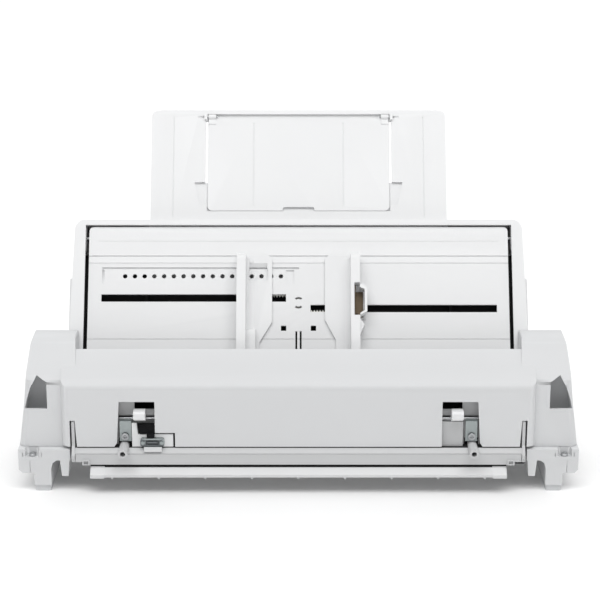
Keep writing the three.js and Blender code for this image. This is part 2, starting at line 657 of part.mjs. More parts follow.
function frontCover() {
  const plan = roundedRect(-FACE_HALF, 0, FACE_HALF, 60, 7, 7, 0, 0);
  const planInside = roundedRect(-FACE_HALF + WALL, WALL, FACE_HALF - WALL, 60, 4.5, 4.5, 0, 0);
  const within = (profile, outline) => prismX(profile, -FACE_HALF - 1, FACE_HALF + 1, COVER_CURVES)
    .intersect(prismZ(outline, 0, 150, COVER_CURVES));
  let outside = within(coverProfile(), plan);
  let inside = within(coverInside(), planInside);
  for (const side of [-1, 1]) {
    outside = join(outside, shoulder(side, 0));
    // the pocket keeps a wall round it
    inside = cut(join(inside, shoulder(side, WALL)), gripPocket(side, 2));
  }
  let body = cut(outside, inside);
  for (const side of [-1, 1]) {
    body = cut(body, gripPocket(side, 0));
    // slot that shows the edge of the cheek, and the docking cut-out, both open below
    const slot = [[189.5, 64], [194, 64], [194, 30], [187.6, 30]];
    const [low, high] = CUTOUT_X;
    const cutout = [[low, CUTOUT_TOP], [high, CUTOUT_TOP], [high + 2.3, 44], [high + 5.5, 39], [low, 39]];
    for (const outline of [slot, cutout]) {
      body = cut(body, prismY(outline.map(([x, z]) => [side * x, z]), -1, 6));
    }
    // the middle of the cover ends a little higher than its shoulders
    body = cut(body, box(side * 180, side * (BRACKET_INNER - GAP), -5, DEPTH + 5, 30, COVER_BOTTOM));
  }
  body = cut(body, box(-CUTOUT_X[0] - 1, -104.8, -1, 6, 30, 53));
  // clear of the hopper housing, which leans through between the shoulders
  const behindHopper = [[11.4, 36], [76.4, 148.6], [200, 148.6], [200, 36]];
  return cut(body, prismX(behindHopper, -RIM_HALF - 1.5, RIM_HALF + 1.5));
}

// Wedge behind the hopper that closes the drive and the board in.
function rearCover() {
  const top = 157.2;
  const outline = [[DEPTH, COVER_BOTTOM], [DEPTH, top], [51.6, 52.6], [51.6, COVER_BOTTOM]];
  const inside = [[DEPTH - WALL, 30], [DEPTH - WALL, top + 20], [40, 60], [40, 30]];
  const half = RIM_HALF + 1.2;
  let body = cut(prismX(outline, -half, half), prismX(inside, -half + WALL, half - WALL));
  // cooling slots in the back, and the hole the motor shaft goes through
  for (let i = 0; i < 8; i += 1) {
    const x = 96 + i * 9;
    body = cut(body, box(x, x + 3.5, DEPTH - 5, DEPTH + 2, 62, 92));
  }
  body = cut(body, rodX(-half - 2, -half + 5, ...MOTOR_AT, 6));
  // screw seats
  for (const side of [-1, 1]) {
    const [x, z] = [side * REAR_SCREW[0], REAR_SCREW[1]];
    body = cut(body, rodY(DEPTH - 1.2, DEPTH + 2, x, z, 4.3), rodY(DEPTH - 5, DEPTH + 2, x, z, 1.9));
  }
  return body;
}

function rearScrew(side) {
  return screwY(side * REAR_SCREW[0], REAR_SCREW[1], DEPTH - 0.9, 1, 9);
}

// A pan-head screw along Y: `face` is under its head, `out` the way the head looks.
function screwY(x, z, face, out, length) {
  const head = rodY(Math.min(face, face + out * 2), Math.max(face, face + out * 2), x, z, 3.2, 20);
  const [shankEnd, shankTop] = [face - out * length, face + out];
  const shank = rodY(Math.min(shankEnd, shankTop), Math.max(shankEnd, shankTop), x, z, 1.5, 12);
  const tip = face + out * 2;
  const bar = (halfX, halfZ) => box(x - halfX, x + halfX, tip - out * 0.9, tip + out, z - halfZ, z + halfZ);
  return cut(join(head, shank), bar(1.8, 0.4), bar(0.4, 1.8));
}

// ---------------------------------------------------------------- chassis: base

const WALL_Y = [9.3, 11];           // wall behind the docking cut-outs
const BLOCK_X = [177.3, 183.5];     // small block on the beam's lower edge, with a square hole

function baseFrame() {
  const width = SIDE_PLATE_X[1];
  const beam = [
    [0.8, BEAM_TOP], [-3.1, 35.6], [-3.8, 34.8], [-3.8, 25.7], [-1.4, 25.7], [-1.4, 34.6], [1.6, 37.3],
    [11, 37.3], [11, BEAM_TOP]];
  let body = join(
    prismX(beam, -width, width),
    box(-width, width, 32, DEPTH - 2.8, 25.7, 28.2),
    box(-width, width, DEPTH - 2.8, DEPTH, 25.7, BEAM_TOP));
  const cheek = [
    [-3.4, 28.6], [-3.4, 30.8], [-4.6, 30.8], [-4.6, 34.2], [-1.2, 39.4], [0.8, 41.4], [0.8, 62.5],
    [3.6, 64.5], [8, 68], [11, 98], [27.5, 98],
    [27.5, 52], [38, 47], [DEPTH - 1, BEAM_TOP - 0.4], [DEPTH - 1, 26.6], [33, 26.6], [31, 28.6]];
  for (const side of [-1, 1]) {
    const block = (x0, x1, ...range) => box(side * x0, side * x1, ...range);
    const [inner, outer] = SIDE_PLATE_X.map((x) => side * x);
    body = cut(body, block(178, 200, -5, -1.4, 20, 28), block(189.2, 189.8, -5, -2.9, 27, 35.4));
    body = join(body, prismX(cheek, inner, outer));
    // wall behind the docking cut-out, with its openings and the seat of the spring plate
    body = join(body, block(118.5, 156, ...WALL_Y, 39, 84));
    body = cut(body,
      block(122, 139.4, WALL_Y[0] - 1, WALL_Y[1] + 1, 70.8, 82),
      block(121, 153, WALL_Y[0] - 1, WALL_Y[1] + 1, 61.6, 65.4),
      block(LATCH_X[0] - 0.4, 153.4, WALL_Y[0] - 1, WALL_Y[1] + 1, BEAM_TOP, 45.4));
    body = join(body, block(143, 151.4, 4.8, 10, 46, 60));
    // bearing of the lock rod
    body = join(body, block(168, 171, 3.6, 10.8, 39, 70));
    body = join(body, block(...BLOCK_X, -6, -1.5, 25.9, 30.3));
    body = cut(body, block(178.5, 182.3, -8, -4.2, 26.7, 29.5));
    const [bossX, bossZ] = [side * BOSS_AT[0], BOSS_AT[1]];
    body = join(body, rodY(-17, 10, bossX, bossZ, 4, 20));
    const latchHole = rodY(0, 9, side * LATCH_SCREW[0], LATCH_SCREW[1], 1.8, 12);
    body = cut(body, rodY(-20, -3, bossX, bossZ, 2.25, 16), latchHole);
  }
  body = join(body, box(120.8, 139.9, 5, 10, 39, 61.2));
  // crease between the beam's sloping and upright faces
  body = cut(body, prismX([[-4.4, 35.5], [-2.9, 35.5], [-2.9, 34.9], [-4.4, 34.9]], -189, 189));
  const hole = ([y, z], radius, half) => rodX(-half, half, y, z, radius, 20);
  return cut(body, hole(FEED_AT, SHAFT_R + GAP, 200), hole(PICK_AT, SHAFT_R + GAP, 200),
    hole(LOCK_AT, LOCK_ROD_R + GAP, 175));
}

const CUP_X = [220.6, 232.6];       // screw cup in the bracket
const CUP_FLOOR = 31.2;
const BRACKET_SCREW_AT = [226.6, 3.6];

// Side bracket with its long foot, the locating peg and the screw cup.
function bracket(side) {
  const x = (value) => side * value;
  const outline = [
    [x(BRACKET_INNER), BRACKET_TOP], [x(BRACKET_INNER), 28], [x(206), 28], [x(209.5), 25.5],
    [x(FOOT_X[0]), 20], [x(FOOT_X[0]), 5.3], [x(FOOT_X[1]), 5.3], [x(FOOT_X[1]), 16.6],
    [x(235.5), 16.6], [x(BRACKET_HALF), 19.6], [x(BRACKET_HALF), BRACKET_TOP]];
  const peg = [[x(195), 30], [x(196.3), 13.8], [x(201.8), 13.8], [x(203.4), 30]];
  const body = join(prismY(outline, BRACKET_FRONT, DEPTH), prismY(peg, BRACKET_FRONT, 12));
  return cut(body,
    box(x(207), x(BRACKET_HALF - WALL), 14, DEPTH - WALL, 19.1, 50),
    box(x(BRACKET_INNER + WALL), x(208), 14, DEPTH - WALL, 31, 50),
    box(x(FOOT_X[0] + 2.5), x(FOOT_X[1] - 2.5), 14, DEPTH - 4, 8.5, 20),
    prismZ(cupOutline(side), CUP_FLOOR, 50),
    rodZ(20, 40, x(BRACKET_SCREW_AT[0]), BRACKET_SCREW_AT[1], 1.8, 12),
    box(x(228.6), x(229.1), BRACKET_FRONT - 1, BRACKET_FRONT + 0.4, 15, 28.5),
    box(x(234.3), x(235), BRACKET_FRONT - 1, BRACKET_FRONT + 1.2, 31.4, 35.2),
    box(x(218.4), x(219.1), BRACKET_FRONT - 1, BRACKET_FRONT + 1.2, 31.4, 35.2));
}

// The cup is open to the front and rounded behind.
function cupOutline(side) {
  const [low, high] = CUP_X.map((value) => side * value).sort((a, b) => a - b);
  return roundedRect(low, BRACKET_FRONT - 1, high, 7.4, 0, 0, 3, 3);
}

function bracketScrew(side) {
  const [x, y] = [side * BRACKET_SCREW_AT[0], BRACKET_SCREW_AT[1]];
  const top = CUP_FLOOR + GAP + 1.9;
  const body = join(rodZ(CUP_FLOOR + GAP, top, x, y, 3, 20), rodZ(24, top - 1, x, y, 1.5, 12));
  const bar = (halfX, halfY) => box(x - halfX, x + halfX, y - halfY, y + halfY, top - 0.8, top + 1);
  return cut(body, bar(1.8, 0.4), bar(0.4, 1.8));
}

function footPad(side) {
  const [inner, outer] = FOOT_X.map((x) => side * x).sort((a, b) => a - b);
  return prismZ(roundedRect(inner + 0.5, 1, outer - 0.5, DEPTH - 1, 2), 0, 5);
}

// Points along the lower paper guide, from the nose up to the foot of the hopper plate.
const CHUTE_LINE = [[-8, 18], [-2.6, 22.9], [0, 24.7], [12, 34.2], [22, 44.5], [29.6, 55.6]];
const CHUTE_UP = [0.565, 0.825];    // direction of its last stretch, and square to it towards the paper
const CHUTE_OUT = [-0.825, 0.565];

function exitChute() {
  const under = [[31.3, 54.4], [23.7, 43.3], [13.4, 32.6], [1, 22.6], [-7, 15.8], [-8, 15.6]];
  let body = prismX([...CHUTE_LINE, ...under], -CHUTE_HALF, CHUTE_HALF);
  for (const side of [-1, 1]) {
    const cap = [[-8.8, 14.9], [-8.8, 17.9], [-1.8, 23.7], [-1.8, 19.6]];
    body = join(body, prismX(cap, side * (CHUTE_HALF - 12), side * CHUTE_HALF));
  }
  for (let i = -4; i <= 4; i += 1) {
    const rib = [[-7.4, 16.5], [-7.4, 13.9], [-5.4, 13.9], [16, 31.8], [16, 37]];
    body = join(body, prismX(rib, i * 39.6 - 0.7, i * 39.6 + 0.7));
  }
  const window = [[21, 42.6], [22.2, 46.5], [28, 54.6], [34, 52], [30, 40], [26, 38]];
  return cut(body, prismX(window, -15.3, 15.3));
}

// A block over the chute's last stretch: `from`..`to` along it and `low`..`high` out of it.
function onChute(x0, x1, from, to, low, high) {
  const [y, z] = CHUTE_LINE.at(-2);
  const at = (along, out) => [
    y + CHUTE_UP[0] * along + CHUTE_OUT[0] * out, z + CHUTE_UP[1] * along + CHUTE_OUT[1] * out];
  return prismX([at(from, low), at(to, low), at(to, high), at(from, high)], x0, x1);
}

const separationPad = () => onChute(-13, 13, 1.8, 8, -1.6, -0.1);

function separationPadHolder() {
  const plate = onChute(-14.6, 14.6, 0.6, 9.6, -4.4, -1.9);
  return join(plate, onChute(-20, 20, -1.5, 10.5, -6.4, -4.2));
}

// ---------------------------------------------------------------- chassis: docking parts

function latchPlate(side) {
  const [inner, outer] = LATCH_X.map((x) => side * x);
  const plate = box(inner, outer, 3.4, 4.5, 44.4, 62.6);
  const bend = prismX([[3.4, 62.4], [4.5, 62.4], [2.6, 65.2], [1.6, 64.8]], inner, outer);
  return cut(join(plate, bend), rodY(0, 9, side * LATCH_SCREW[0], LATCH_SCREW[1], 1.8, 12));
}

function latchScrew(side) {
  return screwY(side * LATCH_SCREW[0], LATCH_SCREW[1], 3.1, -1, 5.6);
}

function lockRod() {
  return rodX(-174, 174, ...LOCK_AT, LOCK_ROD_R, 12);
}

function lockHook(side) {
  const outline = [
    [-4.6, 66.4], [-4.6, 71.4], [-3.2, 73.2], [5.4, 73.2], [7.4, 68.6], [8.8, 65], [8.8, 62.6], [7, 61.9],
    [4.6, 61.9], [3.2, 64.6], [-2.6, 65.8]];
  const [inner, outer] = HOOK_X.map((x) => side * x);
  return cut(prismX(outline, inner, outer), rodX(-200, 200, ...LOCK_AT, LOCK_ROD_R + GAP, 12));
}

function lockSpring() {
  const ring = (radius) => rodX(158.5, 164.5, ...LOCK_AT, radius, 16);
  return cut(ring(2.6), rodX(150, 170, ...LOCK_AT, LOCK_ROD_R + GAP, 16));
}

function connectorPanel() {
  const outline = [
    [-141.4, 40], [-106.4, 40], [-106.4, 51.4], [-136.2, 51.4], [-137.2, 61.4], [-141.4, 61.4]];
  return prismY(outline, 1.2, 3);
}

const SHELL_X = [-134.2, -113.8];   // socket of the interface cable
const SHELL_Z = [41.4, 48.7];

function interfaceConnector() {
  const [x0, x1] = SHELL_X;
  const [z0, z1] = SHELL_Z;
  let body = prismY(roundedRect(x0, z0, x1, z1, 2), -2.2, 0.9);
  body = cut(body, prismY(roundedRect(x0 + 4.4, z0 + 1.3, x1 - 4.4, z1 - 1.3, 1.2), -4, 0));
  body = join(body, box(x0 + 6, x1 - 6, -1.8, 0.5, 44.4, 45.6));
  for (const x of [x0 + 2.2, x1 - 2.2]) {
    body = join(body, rodY(-3.4, 0.9, x, 45, 1.7, 6));
  }
  // cable shell below the socket
  return join(body, box(-131, -116, -4.2, 0.6, 40.5, 41.8), box(-131, -116, -4.2, -2.2, 37.4, 41));
}

function cableBoot() {
  const outline = [
    [-136.4, 60.4], [-122.1, 60.4], [-122.1, 51.8], [-134.6, 51.8], [-135.6, 53]];
  return join(prismY(outline, 0.4, 4.7), box(-128.6, -122.1, -1.8, 0.9, 49.1, 53));
}

// ---------------------------------------------------------------- feed drive

const gearDirection = (from, to) => Math.atan2(to[1] - from[1], to[0] - from[0]);

// Third corner of the triangle on from-to with the two given sides; `turn` picks its side.
function apex(from, to, sideA, sideB, turn) {
  const span = Math.hypot(to[0] - from[0], to[1] - from[1]);
  const along = (sideA ** 2 - sideB ** 2 + span ** 2) / (2 * span);
  const off = turn * Math.sqrt(sideA ** 2 - along ** 2);
  const [uy, uz] = [(to[0] - from[0]) / span, (to[1] - from[1]) / span];
  return [from[0] + uy * along - uz * off, from[1] + uz * along + uy * off];
}

const centreDistance = (a, b) => pitchRadius(a) + pitchRadius(b) + 0.05;

const FRONT_IDLER_AT = apex(FEED_AT, PICK_AT,
  centreDistance(FEED_TEETH, FRONT_IDLER_TEETH), centreDistance(PICK_TEETH, FRONT_IDLER_TEETH), -1);
const REAR_IDLER_AT = apex(FRONT_IDLER_AT, MOTOR_AT,
  centreDistance(FRONT_IDLER_TEETH, REAR_IDLER_TEETH), centreDistance(REAR_IDLER_TEETH, MOTOR_TEETH), 1);

const FEED_PHASE = Math.PI / FEED_TEETH;
const FRONT_IDLER_PHASE = meshedPhase(FEED_PHASE, FEED_TEETH, FRONT_IDLER_TEETH,
  gearDirection(FEED_AT, FRONT_IDLER_AT));
const PICK_PHASE = meshedPhase(FRONT_IDLER_PHASE, FRONT_IDLER_TEETH, PICK_TEETH,
  gearDirection(FRONT_IDLER_AT, PICK_AT));
const REAR_IDLER_PHASE = meshedPhase(FRONT_IDLER_PHASE, FRONT_IDLER_TEETH, REAR_IDLER_TEETH,
  gearDirection(FRONT_IDLER_AT, REAR_IDLER_AT));
const MOTOR_PHASE = meshedPhase(REAR_IDLER_PHASE, REAR_IDLER_TEETH, MOTOR_TEETH,
  gearDirection(REAR_IDLER_AT, MOTOR_AT));

function gearX([y, z], teeth, phase, bore) {
  const wheel = prismX(gearShape(teeth, phase), ...GEAR_X);
  const drilled = bore ? cut(wheel, rodX(GEAR_X[0] - 2, GEAR_X[1] + 2, 0, 0, bore, 14)) : wheel;
  return drilled.translate([0, y, z]);
}

function gearPlate() {
  const outline = [[13, 44], [13, 94], [22, 99.5], [34, 102], [104, 84], [104, 44]];
  let body = prismX(outline, -205.2, -204);
  body = cut(body,
    rodX(-207, -203, ...FEED_AT, SHAFT_R + GAP), rodX(-207, -203, ...PICK_AT, SHAFT_R + GAP),
    rodX(-207, -203, ...MOTOR_AT, 5));
  for (const at of [FRONT_IDLER_AT, REAR_IDLER_AT]) {
    body = join(body, rodX(-210.9, -204.5, ...at, 2.4, 12));
  }
  return body;
}

function driveMotor() {
  const body = rodX(-199.6, -163, ...MOTOR_AT, 18, 32);
  const [y, z] = MOTOR_AT;
  return join(body, rodX(-163.5, -159, y, z, 6, 16), box(-180, -170, y - 6, y + 6, z + 16, z + 21));
}

function motorGear() {
  return join(gearX(MOTOR_AT, MOTOR_TEETH, MOTOR_PHASE, 0), rodX(-210.9, -200, ...MOTOR_AT, 1.5, 12));
}

function feedShaft() {
  return rodX(-210.9, 194.5, ...FEED_AT, SHAFT_R - 0.02, 16);
}

function pickShaft() {
  return rodX(-210.9, 194.5, ...PICK_AT, SHAFT_R - 0.02, 16);
}

function sleeve(x0, x1, at, inner, outer, sides = 24) {
  return cut(rodX(x0, x1, ...at, outer, sides), rodX(x0 - 1, x1 + 1, ...at, inner, 16));
}

function controlBoard() {
  const back = DEPTH - WALL - 4;
  let body = box(-70, 60, back - 1.6, back, 42, 112);
  body = join(body, box(-50, -24, back - 4.4, back - 1, 66, 92), box(0, 18, back - 3.8, back - 1, 70, 84));
  for (let i = 0; i < 3; i += 1) {
    body = join(body, box(28 + i * 10, 35 + i * 10, back - 12, back - 1, 92, 99));
  }
  return join(body, box(-64, -44, back - 9, back - 1, 44, 50), box(30, 56, back - 9, back - 1, 44, 52));
}

// ---------------------------------------------------------------- assembly

const feeder = new THREE.Group();
const chassis = new THREE.Group();
chassis.position.set(0, -FOOTPRINT_MIDDLE_Y, 0);
feeder.add(chassis);

const hopper = new THREE.Group();
hopper.position.set(0, ...HOPPER_AT);
hopper.rotation.x = (90 - LEAN) * deg;
chassis.add(hopper);

const sides = [['left', -1], ['right', 1]];

chassis.add(piece('front_cover', frontCover(), PALE));
chassis.add(piece('rear_cover', rearCover(), WHITE));
chassis.add(piece('base_frame', baseFrame(), PALE));
chassis.add(piece('exit_chute', exitChute(), WHITE));
chassis.add(piece('separation_pad', separationPad(), RUBBER));
chassis.add(piece('separation_pad_holder', separationPadHolder(), NYLON));
for (const [name, side] of sides) {
  chassis.add(piece(`bracket_${name}`, bracket(side), PALE));
  chassis.add(piece(`bracket_screw_${name}`, bracketScrew(side), STEEL));
  chassis.add(piece(`foot_pad_${name}`, footPad(side), RUBBER));
  chassis.add(piece(`rear_screw_${name}`, rearScrew(side), STEEL));
  chassis.add(piece(`latch_plate_${name}`, latchPlate(side), STEEL));
  chassis.add(piece(`latch_screw_${name}`, latchScrew(side), STEEL));
  chassis.add(piece(`lock_hook_${name}`, lockHook(side), WHITE));
}
chassis.add(piece('lock_rod', lockRod(), STEEL));
chassis.add(piece('lock_spring', lockSpring(), STEEL));
chassis.add(piece('connector_panel', connectorPanel(), WHITE));
chassis.add(piece('interface_connector', interfaceConnector(), STEEL));
chassis.add(piece('cable_boot', cableBoot(), BLACK));

hopper.add(piece('rear_housing', rearHousing(), WHITE));
hopper.add(piece('hopper_plate', hopperPlate(), WHITE));
hopper.add(piece('hopper_friction_pad', frictionPad(), RUBBER));
for (const [name, side] of sides) {
  hopper.add(piece(`pivot_pin_${name}`, pivotPin(side), STEEL));
  hopper.add(piece(`lift_spring_${name}`, liftSpring(side), STEEL));
  hopper.add(piece(`flap_pin_${name}`, flapPin(side), STEEL));
}
hopper.add(piece('guide_left', guideLeft(), WHITE));
hopper.add(piece('guide_right', guideRight(), WHITE));
hopper.add(piece('rack_left', rackLeft(), NYLON));
hopper.add(piece('rack_right', rackRight(), NYLON));
hopper.add(piece('guide_pinion', guidePinion(), NYLON));
hopper.add(piece('pinion_clip', pinionClip(), STEEL));
hopper.add(piece('release_lever', releaseLever(), WHITE));
hopper.add(piece('release_spring', releaseSpring(), BRASS));
hopper.add(piece('extension_tray', extensionTray(), WHITE));
hopper.add(piece('extension_flap', extensionFlap(), WHITE));

chassis.add(piece('gear_plate', gearPlate(), STEEL));
chassis.add(piece('drive_motor', driveMotor(), STEEL));
chassis.add(piece('motor_gear', motorGear(), BRASS));
chassis.add(piece('idler_gear_rear', gearX(REAR_IDLER_AT, REAR_IDLER_TEETH, REAR_IDLER_PHASE, 2.7), NYLON));
const frontIdler = gearX(FRONT_IDLER_AT, FRONT_IDLER_TEETH, FRONT_IDLER_PHASE, 2.7);
chassis.add(piece('idler_gear_front', frontIdler, NYLON));
chassis.add(piece('feed_gear', gearX(FEED_AT, FEED_TEETH, FEED_PHASE, SHAFT_R + GAP), NYLON));
chassis.add(piece('pick_gear', gearX(PICK_AT, PICK_TEETH, PICK_PHASE, SHAFT_R + GAP), NYLON));
chassis.add(piece('feed_shaft', feedShaft(), STEEL));
chassis.add(piece('feed_roller', sleeve(-14, 14, FEED_AT, SHAFT_R + GAP, 7.6), RUBBER));
chassis.add(piece('exit_roller_left', sleeve(-96, -82, FEED_AT, SHAFT_R + GAP, 7.4), RUBBER));
chassis.add(piece('exit_roller_right', sleeve(82, 96, FEED_AT, SHAFT_R + GAP, 7.4), RUBBER));
chassis.add(piece('pick_shaft', pickShaft(), STEEL));
chassis.add(piece('pick_hub', sleeve(-16, 16, PICK_AT, SHAFT_R + GAP, 9), NYLON));
chassis.add(piece('pick_tyre', sleeve(-13, 13, PICK_AT, 9 + GAP, 12, 32), RUBBER));
chassis.add(piece('control_board', controlBoard(), BOARD));

export default feeder;
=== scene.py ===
# Looks of a detachable A3-wide automatic document sheet feeder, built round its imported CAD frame.
# Metres, +X right seen from the front, +Y to the back, +Z up, origin on the floor under the middle.
import json
import math

import bmesh
import bpy
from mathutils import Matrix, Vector

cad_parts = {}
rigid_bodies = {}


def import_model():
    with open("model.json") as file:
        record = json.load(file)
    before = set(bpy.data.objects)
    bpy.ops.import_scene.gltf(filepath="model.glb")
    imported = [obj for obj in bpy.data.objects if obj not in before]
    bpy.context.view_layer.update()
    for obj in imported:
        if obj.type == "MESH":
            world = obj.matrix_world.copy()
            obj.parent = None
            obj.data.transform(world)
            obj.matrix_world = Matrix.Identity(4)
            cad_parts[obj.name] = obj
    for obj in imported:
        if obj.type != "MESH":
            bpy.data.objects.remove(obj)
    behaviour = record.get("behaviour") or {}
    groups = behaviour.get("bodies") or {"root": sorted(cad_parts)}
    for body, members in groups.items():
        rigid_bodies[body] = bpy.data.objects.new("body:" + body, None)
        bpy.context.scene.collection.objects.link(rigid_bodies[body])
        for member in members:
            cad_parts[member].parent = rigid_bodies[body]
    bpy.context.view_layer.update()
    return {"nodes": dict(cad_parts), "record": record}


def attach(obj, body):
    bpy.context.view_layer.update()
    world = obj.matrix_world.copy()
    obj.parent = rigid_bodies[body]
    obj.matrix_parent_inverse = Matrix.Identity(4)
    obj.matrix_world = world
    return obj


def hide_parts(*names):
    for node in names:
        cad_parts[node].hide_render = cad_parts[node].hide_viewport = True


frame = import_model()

MM = 0.001
scene = bpy.context.scene
scene.view_settings.view_transform = "Standard"
BODY_OF = {node: body for body, nodes in frame["record"]["behaviour"]["bodies"].items() for node in nodes}
SLOT_OF = {row["node"]: row["material_slot"] for row in frame["record"]["subparts"]}

# ---------------------------------------------------------------- frames of reference

# The hopper leans back; its own frame is x across, t up the plate and w out of its face.
# The lift joint's pivot fixes it: the pivot lies at PIVOT_T, PIVOT_W, in millimetres.
LEAN = math.radians(30)
PIVOT_T = 57.5
PIVOT_W = -8
UP_PLATE = Vector((0, math.sin(LEAN), math.cos(LEAN)))
OUT_OF_PLATE = Vector((0, -math.cos(LEAN), math.sin(LEAN)))
JOINTS = {joint["name"]: joint for joint in frame["record"]["behaviour"]["joints"]}
PIVOT = Vector(JOINTS["hopper_lift"]["pos_m"])
HOPPER_ORIGIN = PIVOT - PIVOT_T * MM * UP_PLATE - PIVOT_W * MM * OUT_OF_PLATE


def on_hopper(x, t, w):
    """World point of hopper coordinates in millimetres."""
    return Vector((x * MM, 0, 0)) + HOPPER_ORIGIN + t * MM * UP_PLATE + w * MM * OUT_OF_PLATE


# ---------------------------------------------------------------- materials


MIX_INPUTS, MIX_OUTPUT = (6, 7), 2      # sockets of a mix node that carry colours


class Nodes:
    """Short hand for building a material's node tree."""

    def __init__(self, name):
        self.material = bpy.data.materials.new(name)
        self.material.use_nodes = True
        self.tree = self.material.node_tree
        self.shader = self.tree.nodes["Principled BSDF"]
        self.coordinates = self.add("ShaderNodeTexCoord").outputs["Object"]

    def add(self, kind, **values):
        node = self.tree.nodes.new(kind)
        for key, value in values.items():
            setattr(node, key, value)
        return node

    def link(self, source, target):
        self.tree.links.new(source, target)

    def noise(self, scale, detail=2.0, roughness=0.5, stretch=None):
        node = self.add("ShaderNodeTexNoise")
        node.inputs["Scale"].default_value = scale
        node.inputs["Detail"].default_value = detail
        node.inputs["Roughness"].default_value = roughness
        source = self.coordinates
        if stretch:
            mapping = self.add("ShaderNodeMapping")
            mapping.inputs["Scale"].default_value = stretch
            self.link(source, mapping.inputs["Vector"])
            source = mapping.outputs["Vector"]
        self.link(source, node.inputs["Vector"])
        return node.outputs["Fac"]

    def ramp(self, source, low, high):
        """Maps 0..1 to low..high, clamped."""
        node = self.add("ShaderNodeMapRange")
        node.inputs["To Min"].default_value = low
        node.inputs["To Max"].default_value = high
        self.link(source, node.inputs["Value"])
        return node.outputs["Result"]

    def mix(self, factor, low, high):
        """Blends from `low` to `high`, each a colour or another node's output."""
        node = self.add("ShaderNodeMix", data_type="RGBA")
        self.link(factor, node.inputs["Factor"])
        for index, value in zip(MIX_INPUTS, (low, high)):
            if isinstance(value, bpy.types.NodeSocket):
                self.link(value, node.inputs[index])
            else:
                node.inputs[index].default_value = (*value, 1)
        return node.outputs[MIX_OUTPUT]

    def bump(self, source, distance, strength):
        node = self.add("ShaderNodeBump")
        node.inputs["Strength"].default_value = strength
        node.inputs["Distance"].default_value = distance
        self.link(source, node.inputs["Height"])
        return node.outputs["Normal"]

    def finish(self, colour, roughness, normal=None, **constants):
        """Wires up the shader; `constants` are shader inputs, with _ for each blank in their names."""
        self.link(colour, self.shader.inputs["Base Color"])
        self.link(roughness, self.shader.inputs["Roughness"])
        if normal:
            self.link(normal, self.shader.inputs["Normal"])
        for key, value in constants.items():
            self.shader.inputs[key.replace("_", " ")].default_value = value
        return self.material


def scaled(colour, factor):
    return tuple(min(1.0, channel * factor) for channel in colour)


# Moulded plastic: scales of its noises per metre, and how its edges are rubbed.
DRIFT_SCALE, SPECK_SCALE, SHEEN_SCALE, GRAIN_SCALE = 9, 1400, 60, 2600
SPECK_SHARE = 0.16
GRAIN_STRENGTH = 0.35
EDGE_STARTS, EDGE_IS_FULL = 0.52, 0.62  # pointiness
EDGE_SHARE = 0.35


def moulded_plastic(name, colour, rough, grain=0.00003, specular=0.42):
    """Spark-eroded moulding texture: fine grain, faint tone drift, and edges rubbed a little paler."""
    n = Nodes(name)
    drift = n.noise(DRIFT_SCALE, 3)
    speck = n.noise(SPECK_SCALE, 2, 0.6)
    toned = n.mix(drift, scaled(colour, 0.965), scaled(colour, 1.02))
    grained = n.mix(n.ramp(speck, 0.0, SPECK_SHARE), toned, scaled(colour, 0.9))
    pointy = n.add("ShaderNodeNewGeometry").outputs["Pointiness"]
    edge = n.add("ShaderNodeMapRange")
    edge.inputs["From Min"].default_value = EDGE_STARTS
    edge.inputs["From Max"].default_value = EDGE_IS_FULL
    edge.inputs["To Max"].default_value = EDGE_SHARE
    n.link(pointy, edge.inputs["Value"])
    worn = n.mix(edge.outputs["Result"], grained, scaled(colour, 1.08))
    rougher = n.ramp(n.noise(SHEEN_SCALE, 3), rough - 0.05, rough + 0.07)
    normal = n.bump(n.noise(GRAIN_SCALE, 2, 0.6), grain, GRAIN_STRENGTH)
    return n.finish(worn, rougher, normal, Specular_IOR_Level=specular)


# Metal: scale of its streaks and clouds, and how deep the streaks look.
STREAK_SCALE, CLOUD_SCALE = 420, 70
STREAK_SHARE = 0.35
STREAK_DEPTH = 0.00002


def sheet_metal(name, colour, rough=0.34, streak=(1, 40, 1)):
    """Rolled and plated sheet: long fine streaks and soft clouding."""
    n = Nodes(name)
    lines = n.noise(STREAK_SCALE, 3, 0.55, streak)
    cloud = n.noise(CLOUD_SCALE, 3)
    tone = n.mix(cloud, scaled(colour, 0.88), scaled(colour, 1.1))
    shade = n.mix(n.ramp(lines, 0, STREAK_SHARE), tone, scaled(colour, 0.75))
    rougher = n.ramp(lines, rough - 0.08, rough + 0.12)
    return n.finish(shade, rougher, n.bump(lines, STREAK_DEPTH, 0.25), Metallic=1.0)


def rubber(name, colour, rough=0.85):
    """Matt rubber with paler dust in its texture."""
    n = Nodes(name)
    dust = n.noise(900, 4, 0.7)
    tone = n.mix(n.ramp(dust, 0, 0.6), scaled(colour, 0.85), scaled(colour, 1.5))
    rougher = n.ramp(n.noise(300, 2), rough - 0.1, rough + 0.08)
    return n.finish(tone, rougher, n.bump(dust, 0.00006, 0.5))


def circuit_board(name):
    """Green solder mask that is paler over its copper."""
    n = Nodes(name)
    mask = n.noise(500, 1, 0.3, (1, 0.2, 3))
    tone = n.mix(n.ramp(mask, 0, 1), (0.012, 0.09, 0.035), (0.03, 0.17, 0.07))
    return n.finish(tone, n.ramp(n.noise(80, 2), 0.3, 0.45), n.bump(mask, 0.00002, 0.3))


